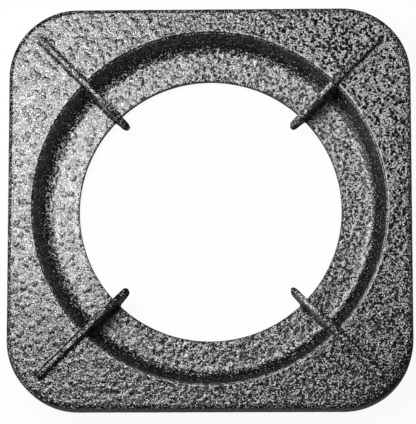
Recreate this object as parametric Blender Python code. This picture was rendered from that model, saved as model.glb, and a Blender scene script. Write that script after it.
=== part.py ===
"""Square cast iron wok ring, finished in black vitreous enamel.

The ring is one hollow casting that stands on the lower edge of its skirt. A flat rim runs round
a deep dish, the dish ends in a flat ring with a round burner hole, and four ribs cross the rim and
the dish on the diagonals. The inner ends of the ribs curve down as a seat for a round pan and
reach in over the hole.

Metres, +Z up. The origin is the middle of the base plane, and the flat sides face X and Y.
"""
import math

import bmesh
import bpy
from mathutils import Matrix, Vector

# Plan sizes, from the burner hole outward
HOLE_DIAMETER = 0.157
RING_WIDTH = 0.0220
DISH_WALL_RUN = 0.0045
LEDGE_WIDTH = 0.0006
MOUTH_ROUND = 0.0018
RIM_LAND = 0.0130
CORNER_RADIUS = 0.0415

# Heights, from the base upward
RING_CLEARANCE = 0.0025
CASTING_WALL = 0.0045
DISH_DEPTH = 0.0170
LEDGE_DEPTH = 0.0022

# Skirt
SKIRT_WALL = 0.0045
SKIRT_DRAFT = math.radians(1.0)

# Rounded edges and fillets of the casting
RIM_EDGE_ROUND = 0.0020
BASE_EDGE_ROUND = 0.0008
HOLE_EDGE_ROUND = 0.0006
LEDGE_EDGE_ROUND = 0.0002
DISH_FOOT_FILLET = 0.0090
DISH_HEEL_ROUND = 0.0110
UNDERSIDE_FILLET = 0.0020

# Ribs
RIB_COUNT = 4
RIB_WIDTH = 0.0032
RIB_RISE = 0.0040
RIB_DRAFT = math.radians(1.5)
RIB_EDGE_ROUND = 0.0010
RIB_END_MARGIN = 0.0098
TIP_REACH = 0.0102
TIP_DEPTH = 0.0080
SEAT_RUN = 0.0300
SEAT_RADIUS = 0.0640

# Facets
SIDE_STEPS = 16
CORNER_STEPS = 10
EDGE_STEPS = 3
FILLET_STEPS = 4
DISH_STEPS = 6
SEAT_STEPS = 7

# Share of a straight run that one rounding may take up
ROUNDING_SHARE = 0.45

# Radii and heights that follow from the sizes above
hole_radius = HOLE_DIAMETER / 2
foot_radius = hole_radius + RING_WIDTH
lip_radius = foot_radius + DISH_WALL_RUN
step_radius = lip_radius + LEDGE_WIDTH
mouth_radius = step_radius + MOUTH_ROUND
plate_side = 2 * (mouth_radius + RIM_LAND)

underside_height = RING_CLEARANCE
ring_height = underside_height + CASTING_WALL
rim_height = ring_height + DISH_DEPTH
ledge_height = rim_height - LEDGE_DEPTH
plate_underside = rim_height - CASTING_WALL

wall_rise = ledge_height - ring_height
wall_length = math.hypot(DISH_WALL_RUN, wall_rise)
wall_lean = DISH_WALL_RUN / wall_rise
wall_width = CASTING_WALL * wall_length / wall_rise
top_inset = rim_height * math.tan(SKIRT_DRAFT)


def dish_wall_radius(height, share):
    """Radius in the sloping dish wall: share 0 is its inner face and 1 its outer face."""
    return foot_radius + (height - ring_height) * wall_lean + share * wall_width


def rounded_path(corners):
    """Turn (place, height, radius, steps) corners into points, with each corner rounded."""
    places = [Vector(corner[:2]) for corner in corners]
    points = [places[0]]
    for before, here, after, corner in zip(places, places[1:], places[2:], corners[1:]):
        radius, steps = corner[2:]
        back = (before - here).normalized()
        onward = (after - here).normalized()
        half_angle = back.angle(onward) / 2
        longest = ROUNDING_SHARE * min((before - here).length, (after - here).length)
        setback = min(radius / math.tan(half_angle), longest)
        radius = setback * math.tan(half_angle)
        centre = here + (back + onward).normalized() * radius / math.sin(half_angle)
        start = here + back * setback - centre
        end = here + onward * setback - centre
        for step in range(steps + 1):
            points.append(centre + start.slerp(end, step / steps) * radius)
    points.append(places[-1])
    return points


def skirt_section():
    """Section of the skirt, as (inset from the base outline, height), from inside to outside."""
    inner_top = SKIRT_WALL + plate_underside * math.tan(SKIRT_DRAFT)
    flat_at_side = plate_side / 2 - inner_top - dish_wall_radius(plate_underside, 1)
    corners = [
        (inner_top + flat_at_side / 2, plate_underside, 0, 0),
        (inner_top, plate_underside, UNDERSIDE_FILLET, EDGE_STEPS),
        (SKIRT_WALL, 0, BASE_EDGE_ROUND, 1),
        (0, 0, BASE_EDGE_ROUND, 1),
        (top_inset, rim_height, RIM_EDGE_ROUND, FILLET_STEPS),
        (top_inset + RIM_LAND / 2, rim_height, 0, 0),
    ]
    return rounded_path(corners)[1:-1]


def dish_section():
    """Section of the dish, as (radius, height), from the rim down and back under the plate."""
    heel_radius = dish_wall_radius(underside_height, 1)
    shoulder_radius = dish_wall_radius(plate_underside, 1)
    corners = [
        (mouth_radius + RIM_LAND / 2, rim_height, 0, 0),
        (step_radius, rim_height, MOUTH_ROUND, FILLET_STEPS),
        (step_radius, ledge_height, LEDGE_EDGE_ROUND, 1),
        (lip_radius, ledge_height, LEDGE_EDGE_ROUND, 1),
        (foot_radius, ring_height, DISH_FOOT_FILLET, DISH_STEPS),
        (hole_radius, ring_height, HOLE_EDGE_ROUND, EDGE_STEPS),
        (hole_radius, underside_height, HOLE_EDGE_ROUND, EDGE_STEPS),
        (heel_radius, underside_height, DISH_HEEL_ROUND, DISH_STEPS),
        (shoulder_radius, plate_underside, UNDERSIDE_FILLET, EDGE_STEPS),
        (mouth_radius + RIM_LAND, plate_underside, 0, 0),
    ]
    return rounded_path(corners)[1:-1]


def outline_stations():
    """Points round the base outline, each with the direction that faces out of the plate."""
    half = plate_side / 2
    straight = half - CORNER_RADIUS
    sweep = math.atan2(straight, half)
    stations = []
    for quarter in range(4):
        turn = Matrix.Rotation(quarter * math.pi / 2, 2)
        for step in range(SIDE_STEPS):
            angle = sweep * (2 * step / SIDE_STEPS - 1)
            place = Vector((half, half * math.tan(angle)))
            stations.append((turn @ place, turn @ Vector((1, 0))))
        for step in range(CORNER_STEPS):
            angle = math.pi / 2 * step / CORNER_STEPS
            outward = Vector((math.cos(angle), math.sin(angle)))
            place = Vector((straight, straight)) + CORNER_RADIUS * outward
            stations.append((turn @ place, turn @ outward))
    return stations


def shell_mesh():
    """Sweep the section once round: square at the skirt, and circular from the rim inward."""
    square_part = skirt_section()
    round_part = dish_section()
    stations = outline_stations()
    vertices = []
    for place, outward in stations:
        for inset, height in square_part:
            vertices.append((*(place - outward * inset), height))
        for radius, height in round_part:
            vertices.append((*(place.normalized() * radius), height))
    count = len(square_part) + len(round_part)
    faces = []
    for station in range(len(stations)):
        here = station * count
        following = (station + 1) % len(stations) * count
        for point in range(count):
            onward = (point + 1) % count
            faces.append((here + point, following + point, following + onward, here + onward))
    mesh = bpy.data.meshes.new("wok_ring")
    mesh.from_pydata(vertices, [], faces)
    return mesh


def rib_profile():
    """Side view of a rib, as (distance from the axis, height), with its root in the casting."""
    top = rim_height + RIB_RISE
    inside = CASTING_WALL / 2
    tip_radius = hole_radius - TIP_REACH
    corner_reach = plate_side / 2 * math.sqrt(2) - CORNER_RADIUS * (math.sqrt(2) - 1)
    end_radius = corner_reach - RIB_END_MARGIN
    root_ring = ring_height - inside
    root_plate = rim_height - inside

    profile = [(end_radius, top)]
    for step in range(SEAT_STEPS + 1):
        run = SEAT_RUN * step / SEAT_STEPS
        drop = SEAT_RADIUS - math.sqrt(SEAT_RADIUS ** 2 - run ** 2)
        profile.append((tip_radius + SEAT_RUN - run, top - drop))
    tip_top = profile[-1][1]
    profile += [
        (tip_radius, tip_top - TIP_DEPTH),
        (hole_radius + inside, underside_height + inside / 2),
        (dish_wall_radius(root_ring, 0), root_ring),
        (dish_wall_radius(root_plate, 0.5), root_plate),
        (end_radius, root_plate),
    ]
    return profile


def rib_mesh():
    """Extrude the side view to the rib's width, with draft, so that its root is the widest."""
    top = rim_height + RIB_RISE
    builder = bmesh.new()
    sides = []
    for side in (1, -1):
        ring = []
        for distance, height in rib_profile():
            half_width = RIB_WIDTH / 2 + (top - height) * math.tan(RIB_DRAFT)
            ring.append(builder.verts.new((distance, side * half_width, height)))
        sides.append(ring)
    left, right = sides
    builder.faces.new(left)
    builder.faces.new(reversed(right))
    count = len(left)
    for point in range(count):
        onward = (point + 1) % count
        builder.faces.new((left[onward], left[point], right[point], right[onward]))
    bmesh.ops.recalc_face_normals(builder, faces=builder.faces)
    mesh = bpy.data.meshes.new("rib")
    builder.to_mesh(mesh)
    builder.free()
    return mesh


def black_enamel():
    """Glossy black vitreous enamel over the iron."""
    material = bpy.data.materials.new("black_enamel")
    material.use_nodes = True
    shader = material.node_tree.nodes["Principled BSDF"]
    shader.inputs["Base Color"].default_value = (0.018, 0.018, 0.019, 1)
    shader.inputs["Metallic"].default_value = 0.0
    shader.inputs["Roughness"].default_value = 0.25
    return material


def add_object(name, mesh):
    """Put a mesh in the scene under a name."""
    made = bpy.data.objects.new(name, mesh)
    bpy.context.scene.collection.objects.link(made)
    return made


def add_rib(number, mesh):
    """Place one rib on its diagonal, with its exposed edges rounded."""
    rib = add_object(f"rib_{number}", mesh)
    rib.rotation_euler.z = 2 * math.pi * (number - 0.5) / RIB_COUNT
    rib.hide_render = True
    rib.display_type = "WIRE"
    rounding = rib.modifiers.new("edges", "BEVEL")
    rounding.limit_method = "ANGLE"
    rounding.angle_limit = math.radians(40)
    rounding.width = RIB_EDGE_ROUND
    rounding.segments = 2
    return rib


def build():
    """Make the casting, and join its ribs to it."""
    for old in list(bpy.data.objects):
        bpy.data.objects.remove(old, do_unlink=True)

    casting = add_object("wok_ring", shell_mesh())
    casting.data.materials.append(black_enamel())
    casting.data.shade_smooth()
    casting.data.set_sharp_from_angle(angle=math.radians(35))

    shared_rib = rib_mesh()
    for number in range(1, RIB_COUNT + 1):
        rib = add_rib(number, shared_rib)
        union = casting.modifiers.new(rib.name, "BOOLEAN")
        union.operation = "UNION"
        union.object = rib


build()
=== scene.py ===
"""Looks of a square cast iron wok ring in hammered black enamel, on a pale studio floor.

The ring's skin follows the section and the ribs of the solid, in metres. Its grid is fine where the
pan side shows, and the pebbles of the hammered enamel are pressed into it as real relief.
"""
import math

import bpy
import numpy as np
from mathutils import Matrix, Vector


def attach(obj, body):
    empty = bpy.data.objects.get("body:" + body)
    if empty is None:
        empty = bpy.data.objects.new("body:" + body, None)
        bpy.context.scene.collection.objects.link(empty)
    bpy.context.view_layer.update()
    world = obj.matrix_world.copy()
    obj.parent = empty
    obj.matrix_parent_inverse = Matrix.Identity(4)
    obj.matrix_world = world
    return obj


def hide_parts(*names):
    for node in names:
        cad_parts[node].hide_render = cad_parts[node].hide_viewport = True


bl_info = {
    "name": "Wok Ring",
    "version": (1, 0, 0),
    "blender": (4, 5, 0),
    "location": "3D View > Sidebar > Wok Ring",
    "description": "Builds an enamelled cast iron wok ring and its studio",
    "category": "Object",
}

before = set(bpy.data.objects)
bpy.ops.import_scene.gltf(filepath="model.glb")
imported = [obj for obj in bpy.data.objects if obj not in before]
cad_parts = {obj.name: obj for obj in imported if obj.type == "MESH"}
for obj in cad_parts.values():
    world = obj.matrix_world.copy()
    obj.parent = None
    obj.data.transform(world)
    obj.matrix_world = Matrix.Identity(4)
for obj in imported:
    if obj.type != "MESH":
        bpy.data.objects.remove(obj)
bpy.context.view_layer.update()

# Share of a straight run that one rounding may take up
ROUNDING_SHARE = 0.45
# Share of a spacing by which a run may be longer before it is split once more
SPACING_SLACK = 0.001
# Length below which two places are the same
TINY = 1e-6


# What a user can change


def length(name, default, description, lowest=0.0):
    """A length property, in metres."""
    return bpy.props.FloatProperty(
        name=name, description=description, default=default, min=lowest, unit="LENGTH",
        precision=5,
    )


def angle(name, default, description):
    """An angle property, given in degrees and kept in radians."""
    return bpy.props.FloatProperty(
        name=name, description=description, default=math.radians(default), subtype="ANGLE"
    )


def share(name, default, description, highest=1.0):
    """A plain number property from 0 up."""
    return bpy.props.FloatProperty(
        name=name, description=description, default=default, min=0.0, max=highest
    )


def colour(name, default, description):
    """A colour property."""
    return bpy.props.FloatVectorProperty(
        name=name, description=description, default=default, min=0.0, max=1.0, size=3,
        subtype="COLOR",
    )


class CastingSizes(bpy.types.PropertyGroup):
    """Sizes of the casting. They are the solid's, but for a softer rim edge and thicker ribs.

    The ribs are thicker by their enamel, which also rounds their feet.
    """

    hole_diameter: length("Hole Diameter", 0.157, "Width of the burner hole")
    ring_width: length("Ring Width", 0.022, "Width of the flat ring round the hole")
    dish_wall_run: length("Dish Wall Run", 0.0045, "Width of the sloping dish wall, from above")
    ledge_width: length("Ledge Width", 0.0006, "Width of the small ledge under the mouth")
    mouth_round: length("Mouth Rounding", 0.0018, "Rounding of the rim's inner edge")
    rim_land: length("Rim Land", 0.013, "Flat width of the rim at its narrowest")
    corner_radius: length("Corner Radius", 0.0415, "Radius of the plate's corners")
    ring_clearance: length("Ring Clearance", 0.0025, "Height of the dish's underside")
    casting_wall: length("Casting Wall", 0.0045, "Thickness of the plate and the dish")
    dish_depth: length("Dish Depth", 0.017, "Drop from the rim to the flat ring")
    ledge_depth: length("Ledge Depth", 0.0022, "Drop from the rim to the ledge")
    skirt_wall: length("Skirt Wall", 0.0045, "Thickness of the skirt")
    skirt_draft: angle("Skirt Draft", 1.0, "Slope of the skirt's faces")
    rim_edge_round: length("Rim Edge Rounding", 0.0030, "Rounding of the plate's outer edge")
    base_edge_round: length("Base Edge Rounding", 0.0008, "Rounding of the skirt's lower edges")
    hole_edge_round: length("Hole Edge Rounding", 0.0006, "Rounding of the hole's edges")
    ledge_edge_round: length("Ledge Edge Rounding", 0.0002, "Rounding of the ledge's edges")
    dish_foot_fillet: length("Dish Foot Fillet", 0.009, "Fillet between dish wall and ring")
    dish_heel_round: length("Dish Heel Rounding", 0.011, "Rounding under the dish wall's foot")
    underside_fillet: length("Underside Fillet", 0.002, "Fillets under the plate")
    rib_width: length("Rib Width", 0.0036, "Thickness of a rib and its enamel, at the top")
    rib_rise: length("Rib Rise", 0.004, "Height of the ribs over the rim")
    rib_draft: angle("Rib Draft", 1.5, "Slope of a rib's sides")
    rib_edge_round: length("Rib Edge Rounding", 0.001, "Rounding of a rib's top edges")
    rib_foot_fillet: length("Rib Foot Fillet", 0.0009, "Fillet that the enamel makes at a rib")
    rib_end_margin: length("Rib End Margin", 0.0098, "Gap from a rib's end to the corner")
    tip_reach: length("Tip Reach", 0.0102, "Reach of a rib's tip over the hole")
    tip_depth: length("Tip Depth", 0.008, "Height of a rib's tip")
    seat_run: length("Seat Run", 0.03, "Length of the curved pan seat on a rib")
    seat_radius: length("Seat Radius", 0.064, "Radius of the curved pan seat")


class EnamelLook(bpy.types.PropertyGroup):
    """Finish of the enamel."""

    pebble_size: length("Pebble Size", 0.0042, "Distance between pebbles of the hammered enamel")
    pebble_radius: length("Pebble Radius", 0.0021, "Reach of a pebble from its middle")
    pebble_depth: length("Pebble Depth", 0.00016, "Height of a pebble over the ground")
    spot_size: length("Spot Size", 0.0024, "Distance between the smooth dark spots")
    spot_radius: length("Spot Radius", 0.00125, "Reach of a dark spot from its middle")
    grain_size: length("Grain Size", 0.0012, "Distance between the fine grains")
    grain_depth: length("Grain Depth", 0.00008, "Height of the fine grains")
    swell_depth: length("Swell Depth", 0.00006, "Depth of the casting's slow waves")
    speck_size: length("Speck Size", 0.00095, "Distance between the pale specks")
    black: colour("Black", (0.003, 0.003, 0.0033), "Colour of the enamel")
    # The pale specks also stand in for the sparkle of the glossy enamel: painted highlights
    grey: colour("Grey", (0.56, 0.56, 0.565), "Colour of the pale specks in the enamel")
    roughness: share("Roughness", 0.10, "Roughness of the enamel's gloss")
    speck_dullness: share("Speck Dullness", 0.15, "Roughness that the specks add")
    gloss: share("Gloss", 0.45, "Strength of the enamel's reflections")
    spot_gloss: share("Spot Gloss", 0.7, "Share of the gloss that the dark spots have")
    budget: bpy.props.IntProperty(
        name="Triangles", description="Most triangles of the ring's skin", default=190000, min=20000
    )


class StudioLook(bpy.types.PropertyGroup):
    """Lamps, floor and camera."""

    softbox_radiance: share("Softbox Radiance", 14, "Brightness of the softbox's middle", 100.0)
    softbox_width: length("Softbox Width", 0.328, "Width of the round softbox")
    softbox_distance: length("Softbox Distance", 0.55, "Distance from the plate to the softbox")
    softbox_lean_x: angle("Softbox Lean X", -17.2, "Lean of the softbox toward the right side")
    softbox_lean_y: angle("Softbox Lean Y", 13, "Lean of the softbox toward the far side")
    panel_radiance: share("Panel Radiance", 1.6, "Brightness of the low panel", 100.0)
    panel_width: length("Panel Width", 1.2, "Width of the low panel at the left")
    panel_distance: length("Panel Distance", 1.6, "Distance from the plate to the low panel")
    panel_lean_x: angle("Panel Lean X", -55, "Lean of the low panel toward the right side")
    panel_lean_y: angle("Panel Lean Y", -15, "Lean of the low panel toward the far side")
    surround: share("Surround", 0.14, "Brightness of the studio round the softbox")
    floor: colour("Floor", (0.18, 0.18, 0.18), "Colour of the floor as it lights the ring")
    floor_seen: colour("Floor Seen", (0.9, 0.9, 0.9), "Colour of the floor as the camera sees it")
    floor_glow: share("Floor Glow", 0.94, "Share of plain white in the floor as it is seen")
    mirrored_glow: share("Mirrored Glow", 0.05, "Share of plain white in the floor's reflection")
    camera_distance: length("Camera Distance", 1.5638, "Distance from the rim to the camera")
    camera_lean_x: angle("Camera Lean X", 1.91, "Lean of the camera toward the right side")
    camera_lean_y: angle("Camera Lean Y", -8.47, "Lean of the camera toward the far side")
    camera_aim_x: length("Camera Aim X", -0.0008, "Where the camera looks", -1.0)
    camera_aim_y: length("Camera Aim Y", -0.0033, "Where the camera looks", -1.0)
    focal_length: bpy.props.FloatProperty(
        name="Focal Length", description="Lens of the camera, in millimetres", default=224.1,
        unit="CAMERA",
    )


# The casting's shape


def rounded_path(corners):
    """Turn (place, height, radius, steps) corners into points, with each corner rounded."""
    places = [Vector(corner[:2]) for corner in corners]
    points = [places[0]]
    for before, here, after, corner in zip(places, places[1:], places[2:], corners[1:]):
        radius, steps = corner[2:]
        back = (before - here).normalized()
        onward = (after - here).normalized()
        half_angle = back.angle(onward) / 2
        longest = ROUNDING_SHARE * min((before - here).length, (after - here).length)
        setback = min(radius / math.tan(half_angle), longest)
        radius = setback * math.tan(half_angle)
        centre = here + (back + onward).normalized() * radius / math.sin(half_angle)
        start = here + back * setback - centre
        end = here + onward * setback - centre
        for step in range(steps + 1):
            points.append(centre + start.slerp(end, step / steps) * radius)
    points.append(places[-1])
    return points


def finer_path(path, spacing):
    """Split the straight runs of a path, so that its points lie at most spacing apart."""
    points = [path[0]]
    for start, end in zip(path, path[1:]):
        parts = max(1, math.ceil((end - start).length / spacing - SPACING_SLACK))
        points += [start.lerp(end, part / parts) for part in range(1, parts + 1)]
    return np.array([tuple(point) for point in points])


def path_lengths(path):
    """Distance along a path to each of its points."""
    steps = np.hypot(*np.diff(path, axis=0).T)
    return np.concatenate(([0.0], np.cumsum(steps)))


def along_path(path, distances):
    """Points of a path at the given distances along it."""
    lengths = path_lengths(path)
    return np.interp(distances, lengths, path[:, 0]), np.interp(distances, lengths, path[:, 1])


class CastingSkin:
    """Grid of points over the casting: lines run round it, and stations cross them.

    An eighth of the plate reaches from a rib's middle to the middle of a side. Its stations first
    cross the rib, at set distances from its middle, and then fan out to the side. Each line gives
    one row for those stations: distance along the rib, distance across it, height, strength of the
    hammered relief, share of the pale specks, and how far the rib stands up there, from 0 to 1.
    """

    # Distances between lines on top, on the skirt and under the casting
    TOP_SPACING = 0.0008
    SKIRT_SPACING = 0.0011
    HIDDEN_SPACING = 0.0025
    # How much wider apart the rim's lines are, outside the ribs' ends and along the ribs
    OUTSIDE_STRETCH = 1.3
    ALONG_STRETCH = 1.15
    # Lines round a rib's free tip, from there down the hole's wall, and under the rim
    TIP_LINES = 36
    ROOT_LINES = 7
    UNDER_LINES = 7
    # Points on the part of a rib's seat that its tip's side view starts with
    SEAT_POINTS = 14

    # Stations across a rib: level top, rounded edge, side, foot fillet, and the ground beside it
    TOP_PARTS = (0.0, 0.5, 1.0)
    EDGE_TURNS = (30, 60, 90)
    SIDE_STATIONS = 9
    FOOT_TURNS = (0, 30, 60, 90)
    BESIDE_PARTS = (0.5, 1.0)
    # Reach of those stations from the rib's middle
    RIB_ZONE = 0.0040
    # Stations from the rib to the middle of a side, and how many of them still follow the rib
    FAN_STATIONS = 104
    BLEND_STATIONS = 16

    # Steps of a rounding: edges that show, small edges, hidden fillets, the dish's heel, rib tips
    EDGE_STEPS = 5
    SMALL_STEPS = 2
    HIDDEN_STEPS = 3
    HEEL_STEPS = 4
    TIP_STEPS = 4

    # Most of a rib's half width that its edge rounding may take up
    EDGE_SHARE = 0.8
    # The foot fillet isn't stretched further where the ground leans away from the rib's crest
    LEAST_LEAN = 0.4
    # Part of its width that a rib has at the very end, and a slope that keeps those lines apart
    END_NARROWING = 0.34
    END_SLOPE = 0.00004
    # Lines round a rib's outer end: up its foot fillet, up the end, and in over the top
    END_FILLET_PARTS = (1.0, 0.62, 0.3, 0.08)
    END_RISE_PARTS = (0.35, 0.7)
    END_TOP_PARTS = (0.04, 0.12, 0.28, 0.5, 0.75, 1.0)

    # Strength of the hammered relief on each part, and what is left of it at the outline
    SKIRT_RELIEF = 0.7
    RIM_RELIEF = 1.0
    LEDGE_RELIEF = 0.6
    DISH_RELIEF = 0.85
    HOLE_RELIEF = 0.35
    UNDER_RELIEF = 0.6
    OUTLINE_RELIEF = 0.3
    # Part of a rib's rise over which its relief grows to full strength
    RELIEF_RISE = 0.4

    # Share of the pale specks, as (heights, shares): up the skirt, with painted shade low on it,
    # and up the dish wall's foot, with painted shade on the steep wall
    SKIRT_SPECKS = ((0.012, 0.022), (0.1, 1.0))
    FOOT_SPECKS = ((0.0, 0.0023), (1.15, 0.05))
    # More specks on the mouth's edge paint a highlight line, and few on the hole's wall paint shade
    MOUTH_SPECKS = 1.5
    LEDGE_SPECKS = 0.3
    HOLE_SPECKS = 0.15
    UNDER_SPECKS = 0.4
    # Reach of the mouth's and the hole's own shares, and of the ledge's
    EDGE_ZONE = 0.0004
    LEDGE_ZONE = 0.0002
    # Share on a rib's top and sides, fewer on the sides as painted shade, and what it loses from
    # the seat's start to the tip as painted shade
    RIB_TOP_SPECKS, RIB_TOP_LOSS = 0.9, 0.35
    RIB_SIDE_SPECKS, RIB_SIDE_LOSS = 0.45, 0.4
    # Share of its specks that each rib keeps, from the rib between +X and +Y on; fewer specks paint
    # shade on that rib
    RIB_SPECKS = (0.9, 0.9, 0.3, 1.0)
    # Share of its specks that each side keeps, from +X on by eighths of a turn: painted light and
    # shade on each side
    SIDE_SPECKS = (1.0, 1.22, 0.84, 0.78, 1.0, 0.7, 0.82, 0.92)
    # The dish wall's foot toward +X loses this share as painted shade, in full from this height
    # over the ring
    FOOT_LOSS = 0.8
    FOOT_ZONE = 0.0005
    # The outline keeps fewer specks, as painted shade along the edge: share left, loss at a corner,
    # and reach inward of both
    OUTLINE_SPECKS, CORNER_LOSS = 0.5, 0.35
    OUTLINE_REACH, CORNER_REACH = 0.0055, 0.0065
    # Part of a corner's radius over which it comes to count, and how much three of them count
    CORNER_PART = 0.3
    OTHER_CORNERS = 0.3

    def __init__(self, sizes):
        self.sizes = sizes
        self.hole_radius = sizes.hole_diameter / 2
        self.foot_radius = self.hole_radius + sizes.ring_width
        self.lip_radius = self.foot_radius + sizes.dish_wall_run
        self.step_radius = self.lip_radius + sizes.ledge_width
        self.mouth_radius = self.step_radius + sizes.mouth_round
        self.half_side = self.mouth_radius + sizes.rim_land
        self.straight = self.half_side - sizes.corner_radius
        self.corner_centre = self.straight * math.sqrt(2)

        self.ring_height = sizes.ring_clearance + sizes.casting_wall
        self.rim_height = self.ring_height + sizes.dish_depth
        self.ledge_height = self.rim_height - sizes.ledge_depth
        self.plate_underside = self.rim_height - sizes.casting_wall
        self.rib_top = self.rim_height + sizes.rib_rise

        wall_rise = self.ledge_height - self.ring_height
        self.wall_lean = sizes.dish_wall_run / wall_rise
        self.wall_width = sizes.casting_wall * math.hypot(1, self.wall_lean)

        self.tip_radius = self.hole_radius - sizes.tip_reach
        corner_reach = self.corner_centre + sizes.corner_radius
        self.rib_end = corner_reach - sizes.rib_end_margin
        self.root_height = sizes.ring_clearance + sizes.casting_wall / 2

        self.crown_stations = len(self.TOP_PARTS + self.EDGE_TURNS)
        self.standing_stations = self.crown_stations + self.SIDE_STATIONS + len(self.FOOT_TURNS)
        self.rib_stations = self.standing_stations + len(self.BESIDE_PARTS)
        self.stations = self.rib_stations + self.FAN_STATIONS
        self.even_offsets = np.linspace(0, self.RIB_ZONE, self.rib_stations)
        self.fan = np.arange(1, self.FAN_STATIONS + 1) / self.FAN_STATIONS
        fade = np.clip(np.arange(self.FAN_STATIONS) / self.BLEND_STATIONS, 0, 1)
        fade = 1 - fade * fade * (3 - 2 * fade)
        self.near_rib = np.concatenate((np.ones(self.rib_stations), fade))
        self.rows = []

    # Sections

    def outer_wall_radius(self, height):
        """Radius of the dish wall's outer face."""
        return self.foot_radius + (height - self.ring_height) * self.wall_lean + self.wall_width

    def skirt_section(self):
        """(inset, height) points from the skirt's inner face, under its edge and up to the rim."""
        s = self.sizes
        slope = math.tan(s.skirt_draft)
        inner_top = s.skirt_wall + self.plate_underside * slope
        flat_at_side = self.half_side - inner_top - self.outer_wall_radius(self.plate_underside)
        top_inset = self.rim_height * slope
        corners = [
            (inner_top + flat_at_side / 2, self.plate_underside, 0, 0),
            (inner_top, self.plate_underside, s.underside_fillet, self.HIDDEN_STEPS),
            (s.skirt_wall, 0, s.base_edge_round, self.SMALL_STEPS),
            (0, 0, s.base_edge_round, self.SMALL_STEPS),
            (top_inset, self.rim_height, s.rim_edge_round, self.EDGE_STEPS),
            (top_inset + s.rim_land / 2, self.rim_height, 0, 0),
        ]
        return finer_path(rounded_path(corners)[1:-1], self.SKIRT_SPACING)

    def dish_section(self):
        """(radius, height) points from the rim's inner edge down to the flat ring's inner end."""
        s = self.sizes
        corners = [
            (self.mouth_radius + s.rim_land / 2, self.rim_height, 0, 0),
            (self.step_radius, self.rim_height, s.mouth_round, self.EDGE_STEPS),
            (self.step_radius, self.ledge_height, s.ledge_edge_round, self.SMALL_STEPS),
            (self.lip_radius, self.ledge_height, s.ledge_edge_round, self.SMALL_STEPS),
            (self.foot_radius, self.ring_height, s.dish_foot_fillet, self.EDGE_STEPS),
            (self.hole_radius, self.ring_height, s.hole_edge_round, self.EDGE_STEPS),
            (self.hole_radius, s.ring_clearance, 0, 0),
        ]
        path = rounded_path(corners)[1:-1]
        return finer_path(path[:-self.EDGE_STEPS], self.TOP_SPACING)

    def hole_section(self):
        """(radius, height) points of the hole's wall with both of its rounded edges."""
        s = self.sizes
        corners = [
            (self.foot_radius, self.ring_height, 0, 0),
            (self.hole_radius, self.ring_height, s.hole_edge_round, self.EDGE_STEPS),
            (self.hole_radius, s.ring_clearance, s.hole_edge_round, self.EDGE_STEPS),
            (self.foot_radius, s.ring_clearance, 0, 0),
        ]
        return np.array([tuple(point) for point in rounded_path(corners)[1:-1]])

    def underside_section(self):
        """(radius, height) points under the flat ring and up the dish wall's outer face."""
        s = self.sizes
        corners = [
            (self.hole_radius, s.ring_clearance, 0, 0),
            (self.outer_wall_radius(s.ring_clearance), s.ring_clearance,
             s.dish_heel_round, self.HEEL_STEPS),
            (self.outer_wall_radius(self.plate_underside), self.plate_underside,
             s.underside_fillet, self.HIDDEN_STEPS),
            (self.mouth_radius + s.rim_land, self.plate_underside, 0, 0),
        ]
        path = rounded_path(corners)[:-1]
        path[0] = Vector((self.hole_radius + s.hole_edge_round, s.ring_clearance))
        return finer_path(path, self.HIDDEN_SPACING)[1:]

    def crest_height(self, radius):
        """Height of a rib's top: level outside, and curved down toward its tip."""
        s = self.sizes
        run = np.clip(self.tip_radius + s.seat_run - radius, 0, s.seat_run)
        return self.rib_top - s.seat_radius + np.sqrt(s.seat_radius ** 2 - run ** 2)

    def tip_outline(self, first_radius):
        """Side view of a rib's free tip, from its top over the ring round to its root."""
        s = self.sizes
        tip_top = float(self.crest_height(self.tip_radius))
        root = Vector((self.hole_radius, self.root_height))
        below = Vector((self.tip_radius, tip_top - s.tip_depth))
        last_radius = self.tip_radius + 2 * s.rib_edge_round
        seat = [
            Vector((radius, float(self.crest_height(radius))))
            for radius in np.linspace(first_radius, last_radius, self.SEAT_POINTS)
        ]
        corners = [
            (*seat[-1], 0, 0),
            (self.tip_radius, tip_top, s.rib_edge_round, self.TIP_STEPS),
            (*below, s.rib_edge_round, self.TIP_STEPS),
            (*root, 0, 0),
        ]
        return np.array([tuple(point) for point in seat[:-1] + rounded_path(corners)])

    # Places of stations

    def on_circle(self, radius, offsets):
        """Stations on a circle: (along, across). radius is one number or one for each station."""
        radius = np.broadcast_to(radius, self.stations)
        split = self.rib_stations
        first = np.arcsin(self.RIB_ZONE / radius[split:])
        turn = first + self.fan * (math.pi / 4 - first)
        along = np.concatenate(
            (np.sqrt(radius[:split] ** 2 - offsets ** 2), radius[split:] * np.cos(turn))
        )
        return along, np.concatenate((offsets, radius[split:] * np.sin(turn)))

    def on_outline(self, inset, offsets):
        """Stations on the plate's outline, moved in by inset: (along, across)."""
        corner = self.sizes.corner_radius - inset
        first = math.atan2(
            self.RIB_ZONE, self.corner_centre + math.sqrt(corner ** 2 - self.RIB_ZONE ** 2)
        )
        turn = first + self.fan * (math.pi / 4 - first)
        side_turn = math.pi / 4 - turn
        side = self.half_side - inset
        on_side = side * np.tan(side_turn) <= self.straight
        sine = np.minimum(self.corner_centre * np.sin(turn), corner)
        reach = np.where(
            on_side,
            side / np.cos(side_turn),
            self.corner_centre * np.cos(turn) + np.sqrt(corner ** 2 - sine ** 2),
        )
        along = np.concatenate(
            (self.corner_centre + np.sqrt(corner ** 2 - offsets ** 2), reach * np.cos(turn))
        )
        return along, np.concatenate((offsets, reach * np.sin(turn)))

    def outline_line(self, inset, height):
        """Places of a line on the outline, moved in by inset."""
        return lambda offsets: (*self.on_outline(inset, offsets), height)

    def circle_line(self, radius, height):
        """Places of a line on a circle."""
        return lambda offsets: (*self.on_circle(radius, offsets), height)

    def flat_line(self, inset, radius, part, height):
        """Places of a line part of the way from the outline, moved in by inset, to a circle."""

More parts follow.
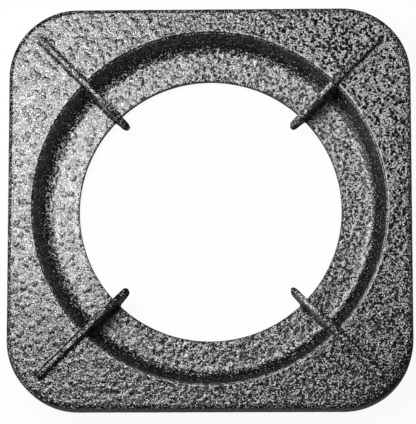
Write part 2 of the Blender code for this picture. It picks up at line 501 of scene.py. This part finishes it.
        def place(offsets):
            outside = self.on_outline(inset, offsets)
            inside = self.on_circle(radius, offsets)
            return *(far * (1 - part) + near * part for far, near in zip(outside, inside)), height

        return place

    # Rows

    def rib_crossing(self, reach, crest_height, foot_height, lean, narrowing):
        """Offsets across a rib and lifts toward its crest, for the stations that cross it."""
        s = self.sizes
        draft = math.tan(s.rib_draft)
        top_half = narrowing * (s.rib_width / 2 + (self.rib_top - crest_height) * draft)
        foot_half = narrowing * (s.rib_width / 2 + (self.rib_top - foot_height) * draft)
        edge = min(s.rib_edge_round, ROUNDING_SHARE * reach)
        edge_across = min(edge, self.EDGE_SHARE * top_half)
        whole_rise = s.rib_foot_fillet / max(lean, self.LEAST_LEAN)
        rise = min(whole_rise, ROUNDING_SHARE * reach)
        fillet = s.rib_foot_fillet * rise / whole_rise
        offsets = [part * (top_half - edge_across) for part in self.TOP_PARTS]
        lifts = [reach] * len(offsets)
        for turn in np.radians(self.EDGE_TURNS):
            offsets.append(top_half - edge_across * (1 - math.sin(turn)))
            lifts.append(reach - edge * (1 - math.cos(turn)))
        for step in range(1, self.SIDE_STATIONS + 1):
            part = step / (self.SIDE_STATIONS + 1)
            offsets.append(top_half + (foot_half - top_half) * part)
            lifts.append(reach - edge + (rise - reach + edge) * part)
        for turn in np.radians(self.FOOT_TURNS):
            offsets.append(foot_half + fillet * (1 - math.cos(turn)))
            lifts.append(rise * (1 - math.sin(turn)))
        for part in self.BESIDE_PARTS:
            offsets.append((foot_half + fillet) * (1 - part) + self.RIB_ZONE * part)
            lifts.append(0.0)
        standing = min(1.0, reach / (2 * s.rib_edge_round))
        offsets = standing * np.array(offsets) + (1 - standing) * self.even_offsets
        return offsets, np.array(lifts)

    def add_row(self, place, relief, crest=None, facing=(0.0, 1.0), narrowing=1.0, specks=1.0):
        """Add a line. place turns rib offsets into (along, across, height) of all the stations.

        relief and specks are the line's own strength and share. crest is the (along, height) of
        the rib's top on this line, facing is the way that the ground there faces, and narrowing
        is the part of the rib's width that the line has.
        """
        offsets = self.even_offsets
        lift_along = np.zeros(self.rib_stations)
        lift_up = np.zeros(self.rib_stations)
        strength = np.full(self.stations, relief)
        pale = np.full(self.stations, specks)
        rib = np.zeros(self.stations)
        if crest is not None:
            along, _, height = place(offsets)
            foot = np.array((along[0], np.broadcast_to(height, self.stations)[0]))
            run = np.array(crest) - foot
            reach = float(np.hypot(*run))
            if reach > TINY:
                run /= reach
                lean = float(run @ np.array(facing))
                offsets, lifts = self.rib_crossing(reach, crest[1], foot[1], lean, narrowing)
                lift_along, lift_up = run[0] * lifts, run[1] * lifts
                on_rib = np.clip(lifts / (self.RELIEF_RISE * self.sizes.rib_rise), 0, 1)
                strength[:self.rib_stations] += (1.0 - relief) * on_rib
                standing = min(1.0, reach / self.sizes.rib_rise)
                inward = (self.tip_radius + self.sizes.seat_run - crest[0]) / self.sizes.seat_run
                inward = min(max(inward, 0.0), 1.0)
                # Fewer specks on the rib's sides and toward its tip: painted shade
                top = self.RIB_TOP_SPECKS - self.RIB_TOP_LOSS * inward
                side = self.RIB_SIDE_SPECKS - self.RIB_SIDE_LOSS * inward
                crown, end = self.crown_stations, self.standing_stations
                pale[:crown] += (top - specks) * standing
                pale[crown:end] += (side - specks) * standing
                rib[:end] = standing
        along, across, height = (np.array(part, float) for part in place(offsets))
        height = np.broadcast_to(height, self.stations).copy()
        along[:self.rib_stations] += lift_along
        height[:self.rib_stations] += lift_up
        self.rows.append((along, across, height, strength, pale, rib))

    def add_skirt(self):
        """Lines from the skirt's inner face round its lower edge and up over the rim's edge."""
        for inset, height in self.skirt_section():
            # Few pale specks low on the skirt: painted shade
            specks = float(np.interp(height, *self.SKIRT_SPECKS))
            self.add_row(self.outline_line(inset, height), self.SKIRT_RELIEF, specks=specks)
        self.land_inset = inset

    def rib_end_lines(self):
        """(distance inside the rib's end, lift, narrowing) of the lines round a rib's outer end."""
        s = self.sizes
        half = s.rib_width / 2
        fillet = s.rib_foot_fillet
        edge = s.rib_edge_round
        narrow = self.END_NARROWING
        lines = []
        for part in self.END_FILLET_PARTS:
            gap = part * fillet
            lines.append((-gap, fillet - math.sqrt(fillet ** 2 - (fillet - gap) ** 2), narrow))
        for part in self.END_RISE_PARTS:
            lift = fillet + part * (s.rib_rise - edge - fillet)
            lines.append((part * self.END_SLOPE, lift, narrow))
        for part in self.END_TOP_PARTS:
            depth = part * half
            fall = max(0.0, edge - depth)
            lift = s.rib_rise - edge + math.sqrt(edge ** 2 - fall ** 2)
            lines.append((depth, lift, math.sqrt(1 - (1 - part) ** 2)))
        return lines

    def add_rim(self):
        """Lines over the flat rim, gathered round the ribs' outer ends."""
        s = self.sizes
        outer = self.corner_centre + s.corner_radius - self.land_inset
        inner = self.dish[0, 0]
        ends = self.rib_end_lines()
        before = self.rib_end - ends[0][0]
        after = self.rib_end - ends[-1][0]
        outside = math.ceil((outer - before) / self.TOP_SPACING / self.OUTSIDE_STRETCH)
        along = math.ceil((after - inner) / self.TOP_SPACING / self.ALONG_STRETCH)
        lines = [(place, None, 1.0) for place in np.linspace(outer, before, outside + 1)[1:-1]]
        lines += [(self.rib_end - inside, lift, narrow) for inside, lift, narrow in ends]
        lines += [(place, s.rib_rise, 1.0) for place in np.linspace(after, inner, along + 1)[1:-1]]
        for number, (place, lift, narrowing) in enumerate(lines, 1):
            gathered = (outer - place) / (outer - inner)
            even = number / (len(lines) + 1)
            part = gathered * self.near_rib + even * (1 - self.near_rib)
            line = self.flat_line(self.land_inset, inner, part, self.rim_height)
            crest = None if lift is None else (place, self.rim_height + lift)
            self.add_row(line, self.RIM_RELIEF, crest, narrowing=narrowing)

    def dish_specks(self, radius, height):
        """Share of pale specks: a painted highlight on the mouth's edge, painted shade on the
        hole's wall, few on the wall as painted shade, and more down its foot to the flat ring.
        """
        if radius < self.hole_radius + self.EDGE_ZONE:
            return self.HOLE_SPECKS
        if height > self.rim_height - self.EDGE_ZONE:
            return self.MOUTH_SPECKS
        if radius >= self.lip_radius - self.LEDGE_ZONE:
            return self.LEDGE_SPECKS
        return float(np.interp(height - self.ring_height, *self.FOOT_SPECKS))

    def add_dish(self):
        """Lines from the rim's inner edge down the wall and in over the flat ring."""
        dish = self.dish
        foot = int(np.argmax(dish[:, 1] < self.ring_height + TINY))
        crest_radii = dish[:, 0].copy()
        crest_radii[:foot + 1] = np.linspace(dish[0, 0], dish[foot, 0], foot + 1)
        tangents = np.gradient(dish, axis=0)
        for (radius, height), tangent, crest_radius in zip(dish, tangents, crest_radii):
            facing = np.array((tangent[1], -tangent[0])) / np.hypot(*tangent)
            crest = (crest_radius, float(self.crest_height(crest_radius)))
            on_ledge = radius >= self.lip_radius - self.LEDGE_ZONE
            relief = self.LEDGE_RELIEF if on_ledge else self.DISH_RELIEF
            specks = self.dish_specks(radius, height)
            self.add_row(self.circle_line(radius, height), relief, crest, facing, specks=specks)

    def add_hole(self):
        """Lines down the hole's wall, which on a rib run round its free tip instead."""
        wall = self.hole_section()
        lengths = path_lengths(wall)
        root = float(np.interp(-self.root_height, -wall[:, 1], lengths))
        outline = self.tip_outline(self.dish[-1, 0])
        tips = np.linspace(0, path_lengths(outline)[-1], self.TIP_LINES + 1)[1:]
        crests = list(zip(*along_path(outline, tips))) + [None] * self.ROOT_LINES
        gathered = np.concatenate((
            np.linspace(0, root, self.TIP_LINES + 1)[1:],
            np.linspace(root, lengths[-1], self.ROOT_LINES + 1)[1:],
        ))
        evenly = np.linspace(0, lengths[-1], len(gathered) + 1)[1:]
        half_tip = self.sizes.rib_width / 2
        for near, even, crest in zip(gathered, evenly, crests):
            radius, height = along_path(wall, near * self.near_rib + even * (1 - self.near_rib))
            inside = (crest[0] - self.tip_radius) / half_tip if crest else 1.0
            fullness = math.sqrt(1 - (1 - min(max(inside, 0.0), 1.0)) ** 2)
            narrowing = self.END_NARROWING + (1 - self.END_NARROWING) * fullness
            self.add_row(
                self.circle_line(radius, height), self.HOLE_RELIEF, crest, facing=(-1.0, 0.0),
                narrowing=narrowing, specks=self.HOLE_SPECKS,
            )

    def add_underside(self):
        """Lines under the ring, up the dish wall's outer face and out under the rim."""
        under = self.underside_section()
        lines = [self.circle_line(radius, height) for radius, height in under]
        last = under[-1, 0]
        first_inset = self.skirt_section()[0, 0]
        lines += [
            self.flat_line(first_inset, last, 1 - part, self.plate_underside)
            for part in np.linspace(0, 1, self.UNDER_LINES + 2)[1:-1]
        ]
        for line in lines:
            self.add_row(line, self.UNDER_RELIEF, specks=self.UNDER_SPECKS)

    def edge_fade(self, points):
        """Share of the pale specks left near the outline, as painted shade along the edge, least at
        the corner toward +X and -Y.
        """
        radius = self.sizes.corner_radius
        beyond = np.maximum(np.abs(points[..., :2]) - self.straight, 0)
        corner = np.minimum(beyond[..., 0], beyond[..., 1]) / (self.CORNER_PART * radius)
        near_right = (points[..., 0] > 0) & (points[..., 1] < 0)
        corner = np.clip(corner, 0, 1) * np.where(near_right, 1.0, self.OTHER_CORNERS)
        gap = radius - np.hypot(beyond[..., 0], beyond[..., 1])
        part = np.clip(gap / (self.OUTLINE_REACH + self.CORNER_REACH * corner), 0, 1)
        lowest = self.OUTLINE_SPECKS - self.CORNER_LOSS * corner
        return lowest + (1 - lowest) * part * part * (3 - 2 * part)

    def side_share(self, points, rib):
        """Share of the pale specks by direction, which paints light and shade on each side, with
        few at the dish wall's foot toward +X as painted shade.
        """
        radius = np.hypot(points[..., 0], points[..., 1])
        turn = np.arctan2(points[..., 1], points[..., 0])
        eighths = np.arange(8) * math.pi / 4
        side = np.interp(turn, eighths, self.SIDE_SPECKS, period=2 * math.pi)
        wall = np.clip((points[..., 2] - self.ring_height) / self.FOOT_ZONE, 0, 1) * (1 - rib)
        wall[radius > self.lip_radius - self.LEDGE_ZONE] = 0
        return side * (1 - self.FOOT_LOSS * wall * np.clip(points[..., 0] / radius, 0, 1))

    def mesh(self, name):
        """The closed skin, with the strength of its relief and its specks on each point."""
        self.dish = self.dish_section()
        self.add_skirt()
        self.add_rim()
        self.add_dish()
        self.add_hole()
        self.add_underside()
        along, across, height, strength, pale, rib = (
            np.stack(part) for part in zip(*self.rows)
        )
        lines = len(self.rows)
        order = list(range(self.stations - 1, 0, -1)) + list(range(self.stations - 1))
        sides = np.array([-1.0] * (self.stations - 1) + [1.0] * (self.stations - 1))
        quarters = []
        for quarter in range(4):
            turn = math.pi / 4 + quarter * math.pi / 2
            out = along[:, order]
            over = across[:, order] * sides
            quarters.append(np.stack((
                out * math.cos(turn) - over * math.sin(turn),
                out * math.sin(turn) + over * math.cos(turn),
                height[:, order],
            ), axis=-1))
        points = np.concatenate(quarters, axis=1)
        # Painted shade along the outline, darkest at the corner toward +X and -Y; the same share
        # also softens the relief there
        fade = self.edge_fade(points)
        strengths = np.concatenate([strength[:, order]] * 4, axis=1)
        strengths *= self.OUTLINE_RELIEF + (1 - self.OUTLINE_RELIEF) * fade
        # Each rib keeps its share of specks: painted shade, most on the rib toward -X and -Y
        pales = fade * np.concatenate(
            [(pale * (1 - rib * (1 - left)))[:, order] for left in self.RIB_SPECKS], axis=1
        )
        # Painted light and shade by side
        pales *= self.side_share(points, np.concatenate([rib[:, order]] * 4, axis=1))
        count = points.shape[1]
        line, station = np.meshgrid(np.arange(lines), np.arange(count), indexing="ij")
        onward = (line + 1) % lines
        following = (station + 1) % count
        faces = np.stack((
            line * count + station,
            line * count + following,
            onward * count + following,
            onward * count + station,
        ), axis=-1).reshape(-1, 4)
        mesh = bpy.data.meshes.new(name)
        mesh.from_pydata(points.reshape(-1, 3).tolist(), [], faces.tolist())
        for layer, values in (("relief", strengths), ("specks", pales)):
            attribute = mesh.attributes.new(layer, "FLOAT", "POINT")
            attribute.data.foreach_set("value", values.ravel().astype(np.float32))
        mesh.shade_smooth()
        return mesh


# Node helpers

# Sockets of a Mix node's two colours and of the colour that it gives
COLOUR_A, COLOUR_B, COLOUR_OUT = 6, 7, 2

# Part of its cell's size that slow noise may push a pebble from its place, and the noise's middle
PEBBLE_DRIFT = 0.8
NOISE_MIDDLE = (0.5, 0.5, 0.5)


def add_node(tree, kind, inputs=None, **settings):
    """Add a node, set it up, and fill its inputs with values or with other nodes' outputs."""
    node = tree.nodes.new(kind)
    for name, value in settings.items():
        setattr(node, name, value)
    for name, value in (inputs or {}).items():
        if isinstance(value, bpy.types.NodeSocket):
            tree.links.new(value, node.inputs[name])
        else:
            node.inputs[name].default_value = value
    return node


def maths(tree, operation, *values):
    """A Math node's result."""
    inputs = dict(enumerate(values))
    return add_node(tree, "ShaderNodeMath", inputs, operation=operation).outputs[0]


def vector_maths(tree, operation, *values):
    """A Vector Math node's result."""
    inputs = dict(enumerate(values))
    return add_node(tree, "ShaderNodeVectorMath", inputs, operation=operation).outputs[0]


def scaled(tree, vector, factor):
    """A vector made longer or shorter by a factor."""
    return add_node(
        tree, "ShaderNodeVectorMath", {0: vector, "Scale": factor}, operation="SCALE"
    ).outputs[0]


def noise(tree, place, scale, detail=2.0):
    """A Noise Texture's outputs at a place."""
    return add_node(
        tree, "ShaderNodeTexNoise", {"Vector": place, "Scale": scale, "Detail": detail}
    ).outputs


def ramp(tree, value, start, end, low=0.0, high=1.0):
    """A Map Range node's result: low at start and before it, and high from end on."""
    return add_node(
        tree, "ShaderNodeMapRange",
        {"Value": value, "From Min": start, "From Max": end, "To Min": low, "To Max": high},
    ).outputs["Result"]


def blended(tree, factor, first, second):
    """A colour that goes from the first to the second as the factor rises."""
    return add_node(
        tree, "ShaderNodeMix",
        {"Factor": factor, COLOUR_A: (*first, 1), COLOUR_B: (*second, 1)}, data_type="RGBA",
    ).outputs[COLOUR_OUT]


def pebble_height(tree, place, size, radius):
    """Height of round pebbles at a place, from 0 between them to 1 on a crown.

    size is the distance from one pebble to the next, and radius is how far a pebble reaches.
    Pebbles stand all through space, so those that a surface only grazes are small and low.
    """
    frequency = maths(tree, "DIVIDE", 1.0, size)
    drift = vector_maths(tree, "SUBTRACT", noise(tree, place, frequency)["Color"], NOISE_MIDDLE)
    drift = scaled(tree, drift, maths(tree, "MULTIPLY", PEBBLE_DRIFT, size))
    place = vector_maths(tree, "ADD", place, drift)
    cells = add_node(
        tree, "ShaderNodeTexVoronoi", {"Vector": place, "Scale": frequency, "Randomness": 1.0}
    )
    gone = maths(tree, "DIVIDE", maths(tree, "MULTIPLY", cells.outputs["Distance"], size), radius)
    gone = maths(tree, "MINIMUM", gone, 1.0)
    return maths(tree, "SUBTRACT", 1.0, maths(tree, "MULTIPLY", gone, gone))


# The ring

# Where in space the enamel's patterns start
PATTERN_SEED = 0.0

# Slow waves of the casting and of its gloss, for each metre
SWELL_SCALE = 55.0
HAZE_SCALE = 140.0

# Noise from which the ground is pale, how far a full share of specks lowers that, and the width
# of a speck's soft edge
SPECK_LEVEL = 0.65
SPECK_GAIN = 0.18
SPECK_EDGE = 0.08

# Heights between which the dark spots and the pebbles' crowns set in
SPOT_HEIGHTS = (0.1, 0.45)
CROWN_HEIGHTS = (0.3, 0.8)
# Share of the specks that a crown loses
CROWN_LOSS = 0.65

# Noise of the haze, and how much rougher or smoother the gloss is there
HAZE_LEVELS = (0.3, 0.7)
HAZE_SMOOTHER = 0.06
HAZE_ROUGHER = 0.08
ENAMEL_IOR = 1.6

# Reach of a fine grain in its cell, share of the grains left on a dark spot, and a spot's height
GRAIN_REACH = 0.6
SPOT_GRAINS = 0.4
SPOT_RISE = 0.5


def relief_tree():
    """Geometry nodes that press the pebbles and slow waves of the casting into a skin."""
    tree = bpy.data.node_groups.new("enamel_relief", "GeometryNodeTree")
    tree.is_modifier = True
    for name, kind in (
        ("Skin", "Geometry"), ("Pebble Size", "Float"), ("Pebble Radius", "Float"),
        ("Pebble Depth", "Float"), ("Swell Depth", "Float"), ("Seed", "Float"),
        ("Enamel", "Material"),
    ):
        tree.interface.new_socket(name, in_out="INPUT", socket_type=f"NodeSocket{kind}")
    tree.interface.new_socket("Skin", in_out="OUTPUT", socket_type="NodeSocketGeometry")

    given = add_node(tree, "NodeGroupInput").outputs
    place = add_node(tree, "GeometryNodeInputPosition").outputs[0]
    place = vector_maths(tree, "ADD", place, given["Seed"])
    strength = add_node(
        tree, "GeometryNodeInputNamedAttribute", {"Name": "relief"}, data_type="FLOAT"
    ).outputs["Attribute"]
    pebbles = pebble_height(tree, place, given["Pebble Size"], given["Pebble Radius"])
    groove = maths(tree, "MULTIPLY", maths(tree, "SUBTRACT", 1.0, pebbles), given["Pebble Depth"])
    swell = noise(tree, place, SWELL_SCALE, detail=1.0)["Fac"]
    swell = maths(tree, "MULTIPLY", swell, given["Swell Depth"])
    sunk = maths(tree, "MULTIPLY", maths(tree, "ADD", groove, swell), strength)
    outward = add_node(tree, "GeometryNodeInputNormal").outputs[0]
    inward = scaled(tree, outward, maths(tree, "MULTIPLY", sunk, -1.0))
    pressed = add_node(
        tree, "GeometryNodeSetPosition", {"Geometry": given["Skin"], "Offset": inward}
    )
    real = add_node(tree, "GeometryNodeRealizeInstances", {"Geometry": pressed.outputs[0]})
    coated = add_node(
        tree, "GeometryNodeSetMaterial", {"Geometry": real.outputs[0], "Material": given["Enamel"]}
    )
    add_node(tree, "NodeGroupOutput", {"Skin": coated.outputs[0]})
    return tree


def set_inputs(modifier, tree, values):
    """Give a Geometry Nodes modifier its values, by the names of the tree's inputs."""
    for item in tree.interface.items_tree:
        if item.in_out == "INPUT" and item.name in values:
            modifier[item.identifier] = values[item.name]


def add_object(name, data):
    """Put a mesh, a lamp or a camera in the scene under a name."""
    made = bpy.data.objects.new(name, data)
    bpy.context.scene.collection.objects.link(made)
    return made


def settled(source, name):
    """Turn an object and its modifiers into a plain mesh object."""
    graph = bpy.context.evaluated_depsgraph_get()
    mesh = bpy.data.meshes.new_from_object(source.evaluated_get(graph), depsgraph=graph)
    mesh.name = name
    bpy.data.objects.remove(source, do_unlink=True)
    return add_object(name, mesh)


def speck_cover(tree, place, strength, pebbles, spots, look):
    """Share of pale speck at a place, which also stands in for the gloss's sparkle as painted
    highlights, and of plain ground: 1 between the dark spots.
    """
    specks = add_node(tree, "ShaderNodeAttribute", attribute_name="specks").outputs["Fac"]
    tone = noise(tree, place, 1 / look.speck_size, detail=1.0)["Fac"]
    level = maths(tree, "SUBTRACT", SPECK_LEVEL, maths(tree, "MULTIPLY", SPECK_GAIN, specks))
    pale = ramp(tree, tone, level, maths(tree, "ADD", level, SPECK_EDGE))
    on_spot = maths(tree, "SUBTRACT", 1.0, maths(tree, "MINIMUM", specks, strength))
    ground = ramp(tree, spots, *SPOT_HEIGHTS, 1.0, on_spot)
    on_crown = maths(tree, "SUBTRACT", 1.0, maths(tree, "MULTIPLY", strength, CROWN_LOSS))
    beside_crowns = ramp(tree, pebbles, *CROWN_HEIGHTS, 1.0, on_crown)
    return maths(tree, "MULTIPLY", pale, maths(tree, "MULTIPLY", ground, beside_crowns)), ground


def enamel_bump(tree, place, strength, pebbles, spots, ground, look):
    """Bumps of the pebbles, and on them of the fine grains and the dark spots."""
    grains = pebble_height(tree, place, look.grain_size, GRAIN_REACH * look.grain_size)
    left = maths(tree, "ADD", maths(tree, "MULTIPLY", ground, 1 - SPOT_GRAINS), SPOT_GRAINS)
    fine = maths(tree, "MULTIPLY", grains, left)
    fine = maths(tree, "ADD", fine, maths(tree, "MULTIPLY", spots, SPOT_RISE))
    bump = {"Strength": 1.0}
    for height, depth in ((pebbles, look.pebble_depth), (fine, look.grain_depth)):
        bump["Height"] = maths(tree, "MULTIPLY", height, strength)
        bump["Distance"] = depth
        bump["Normal"] = add_node(tree, "ShaderNodeBump", bump).outputs["Normal"]
    return bump["Normal"]


def black_enamel(look):
    """Glossy black enamel: hammered pebbles, smooth dark spots, fine grains and pale specks, which
    also stand in for the sparkle of its gloss as painted highlights.
    """
    material = bpy.data.materials.new("black_enamel")
    material.use_nodes = True
    tree = material.node_tree
    shader = tree.nodes["Principled BSDF"]
    place = add_node(tree, "ShaderNodeTexCoord").outputs["Object"]
    place = vector_maths(tree, "ADD", place, (PATTERN_SEED,) * 3)
    strength = add_node(tree, "ShaderNodeAttribute", attribute_name="relief").outputs["Fac"]
    pebbles = pebble_height(tree, place, look.pebble_size, look.pebble_radius)
    spots = pebble_height(tree, place, look.spot_size, look.spot_radius)
    cover, ground = speck_cover(tree, place, strength, pebbles, spots, look)
    haze = noise(tree, place, HAZE_SCALE, detail=4.0)["Fac"]
    smoothest, roughest = look.roughness - HAZE_SMOOTHER, look.roughness + HAZE_ROUGHER
    roughness = ramp(tree, haze, *HAZE_LEVELS, smoothest, roughest)
    dull = maths(tree, "MULTIPLY", cover, look.speck_dullness)
    spot_gloss = look.gloss * look.spot_gloss
    for socket, value in {
        "Base Color": blended(tree, cover, look.black, look.grey),
        "Roughness": maths(tree, "ADD", roughness, dull),
        "Specular IOR Level": ramp(tree, ground, 0.0, 1.0, spot_gloss, look.gloss),
        "Normal": enamel_bump(tree, place, strength, pebbles, spots, ground, look),
    }.items():
        tree.links.new(value, shader.inputs[socket])
    shader.inputs["IOR"].default_value = ENAMEL_IOR
    return material


class WOKRING_OT_casting(bpy.types.Operator):
    """Build the ring's enamelled skin in place of the plain solid"""

    bl_idname = "wokring.casting"
    bl_label = "Build Casting"

    def execute(self, context):
        look = context.scene.wokring_enamel
        skin = CastingSkin(context.scene.wokring_casting).mesh("wok_ring_skin")
        blank = add_object("wok_ring_skin", skin)
        tree = relief_tree()
        relief = blank.modifiers.new("relief", "NODES")
        relief.node_group = tree
        set_inputs(relief, tree, {
            "Pebble Size": look.pebble_size,
            "Pebble Radius": look.pebble_radius,
            "Pebble Depth": look.pebble_depth,
            "Swell Depth": look.swell_depth,
            "Seed": PATTERN_SEED,
            "Enamel": black_enamel(look),
        })
        thinning = blank.modifiers.new("thinning", "DECIMATE")
        thinning.ratio = min(1.0, look.budget / (2 * len(skin.polygons)))
        casting = settled(blank, "enamelled_casting")
        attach(casting, "root")
        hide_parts("wok_ring")
        return {"FINISHED"}


# The stage

# The floor's half width, the radius and steps of the bend behind the ring, and its height there
FLOOR_HALF = 5.0
FLOOR_BEND = 1.0
FLOOR_BEND_STEPS = 12
FLOOR_RISE = 3.0

# The softbox's discs, as shares of its width and of its radiance, and the gap between them
SOFTBOX_DISCS = ((1.0, 0.45), (0.62, 0.55))
SOFTBOX_GAP = 0.02

# The camera's sensor, in millimetres, and the distances between which it sees
SENSOR_WIDTH = 36.0
CLIP_START, CLIP_END = 0.05, 50.0


def studio_floor(look):
    """A wide floor that sweeps up behind the ring. The camera sees it as near white."""
    bend_start = FLOOR_HALF - 2 * FLOOR_BEND
    profile = [(-FLOOR_HALF, 0.0)]
    for turn in range(FLOOR_BEND_STEPS + 1):
        sweep = math.pi / 2 * turn / FLOOR_BEND_STEPS
        profile.append(
            (bend_start + FLOOR_BEND * math.sin(sweep), FLOOR_BEND * (1 - math.cos(sweep)))
        )
    profile.append((FLOOR_HALF - FLOOR_BEND, FLOOR_RISE))
    mesh = bpy.data.meshes.new("studio_floor")
    corners = [(side * FLOOR_HALF, far, height) for far, height in profile for side in (-1, 1)]
    faces = [(low, low + 1, low + 3, low + 2) for low in range(0, len(corners) - 2, 2)]
    mesh.from_pydata(corners, [], faces)
    mesh.shade_smooth()
    floor = add_object("studio_floor", mesh)
    material = bpy.data.materials.new("studio_floor")
    material.use_nodes = True
    tree = material.node_tree
    tree.nodes.remove(tree.nodes["Principled BSDF"])
    white = add_node(tree, "ShaderNodeEmission", {"Color": (1, 1, 1, 1), "Strength": 1.0})
    path = add_node(tree, "ShaderNodeLightPath").outputs
    straight = maths(tree, "MAXIMUM", path["Is Camera Ray"], path["Is Transmission Ray"])
    paint = add_node(
        tree, "ShaderNodeBsdfDiffuse",
        {"Color": blended(tree, straight, look.floor, look.floor_seen)},
    )
    seen_glow = maths(tree, "MULTIPLY", straight, look.floor_glow)
    mirrored_glow = maths(tree, "MULTIPLY", path["Is Glossy Ray"], look.mirrored_glow)
    glow = maths(tree, "MAXIMUM", seen_glow, mirrored_glow)
    blend = add_node(
        tree, "ShaderNodeMixShader", {0: glow, 1: paint.outputs[0], 2: white.outputs[0]}
    )
    tree.links.new(blend.outputs[0], tree.nodes["Material Output"].inputs["Surface"])
    mesh.materials.append(material)


def leaning(lean_x, lean_y):
    """Direction that leans from straight up toward +X and +Y by two angles."""
    across, onward = math.sin(lean_x), math.sin(lean_y)
    return Vector((across, onward, math.sqrt(1 - across ** 2 - onward ** 2)))


def round_lamp(name, toward, distance, width, radiance):
    """A round lamp that faces the plate's middle. Its watts follow from its radiance and size."""
    lamp = bpy.data.lights.new(name, "AREA")
    lamp.shape = "DISK"
    lamp.size = width
    lamp.energy = radiance * math.pi ** 2 * (width / 2) ** 2
    placed = add_object(name, lamp)
    placed.location = toward * distance
    placed.rotation_euler = toward.to_track_quat("Z", "Y").to_euler()


def lamps(look):
    """A round softbox over the plate, brighter toward its middle, and a low panel at the left."""
    toward = leaning(look.softbox_lean_x, look.softbox_lean_y)
    for number, (width, part) in enumerate(SOFTBOX_DISCS):
        round_lamp(
            f"softbox_{number}", toward, look.softbox_distance - SOFTBOX_GAP * number,
            width * look.softbox_width, part * look.softbox_radiance,
        )
    round_lamp(
        "low_panel", leaning(look.panel_lean_x, look.panel_lean_y), look.panel_distance,
        look.panel_width, look.panel_radiance,
    )


def surround(look):
    """The dim studio round the plate."""
    world = bpy.data.worlds.new("studio")
    world.use_nodes = True
    background = world.node_tree.nodes["Background"]
    background.inputs["Color"].default_value = (1, 1, 1, 1)
    background.inputs["Strength"].default_value = look.surround
    bpy.context.scene.world = world


def photo_camera(look, rim_height):
    """The camera at the photograph's viewing angle."""
    lens = bpy.data.cameras.new("camera")
    lens.sensor_width = SENSOR_WIDTH
    lens.lens = look.focal_length
    lens.clip_start, lens.clip_end = CLIP_START, CLIP_END
    camera = add_object("camera", lens)
    toward = leaning(look.camera_lean_x, look.camera_lean_y)
    eye = Vector((0, 0, rim_height)) + toward * look.camera_distance
    aim = Vector((look.camera_aim_x, look.camera_aim_y, rim_height))
    forward = (aim - eye).normalized()
    right = forward.cross(Vector((0, 1, 0))).normalized()
    camera.location = eye
    camera.rotation_euler = Matrix((right, right.cross(forward), -forward)).transposed().to_euler()
    bpy.context.scene.camera = camera


class WOKRING_OT_studio(bpy.types.Operator):
    """Set up the floor, the lamps and the camera"""

    bl_idname = "wokring.studio"
    bl_label = "Set Up Studio"

    def execute(self, context):
        scene = context.scene
        look = scene.wokring_studio
        studio_floor(look)
        lamps(look)
        surround(look)
        photo_camera(look, CastingSkin(scene.wokring_casting).rim_height)
        scene.view_settings.view_transform = "Standard"
        return {"FINISHED"}


class WOKRING_PT_panel(bpy.types.Panel):
    """Buttons and sizes of the wok ring"""

    bl_idname = "WOKRING_PT_panel"
    bl_label = "Wok Ring"
    bl_space_type = "VIEW_3D"
    bl_region_type = "UI"
    bl_category = "Wok Ring"

    def draw(self, context):
        scene = context.scene
        for title, group, operator in (
            ("Casting", scene.wokring_casting, WOKRING_OT_casting),
            ("Enamel", scene.wokring_enamel, None),
            ("Studio", scene.wokring_studio, WOKRING_OT_studio),
        ):
            box = self.layout.box()
            box.label(text=title)
            for name in group.__annotations__:
                box.prop(group, name)
            if operator:
                box.operator(operator.bl_idname)


CLASSES = (
    CastingSizes,
    EnamelLook,
    StudioLook,
    WOKRING_OT_casting,
    WOKRING_OT_studio,
    WOKRING_PT_panel,
)


def register():
    """Add the classes, and their settings to each scene."""
    for kind in CLASSES:
        bpy.utils.register_class(kind)
    bpy.types.Scene.wokring_casting = bpy.props.PointerProperty(type=CastingSizes)
    bpy.types.Scene.wokring_enamel = bpy.props.PointerProperty(type=EnamelLook)
    bpy.types.Scene.wokring_studio = bpy.props.PointerProperty(type=StudioLook)


def unregister():
    """Take the settings and the classes out again."""
    del bpy.types.Scene.wokring_studio
    del bpy.types.Scene.wokring_enamel
    del bpy.types.Scene.wokring_casting
    for kind in reversed(CLASSES):
        bpy.utils.unregister_class(kind)


def main():
    """Build the ring and its studio."""
    register()
    bpy.ops.wokring.casting()
    bpy.ops.wokring.studio()


if __name__ == "__main__":
    main()
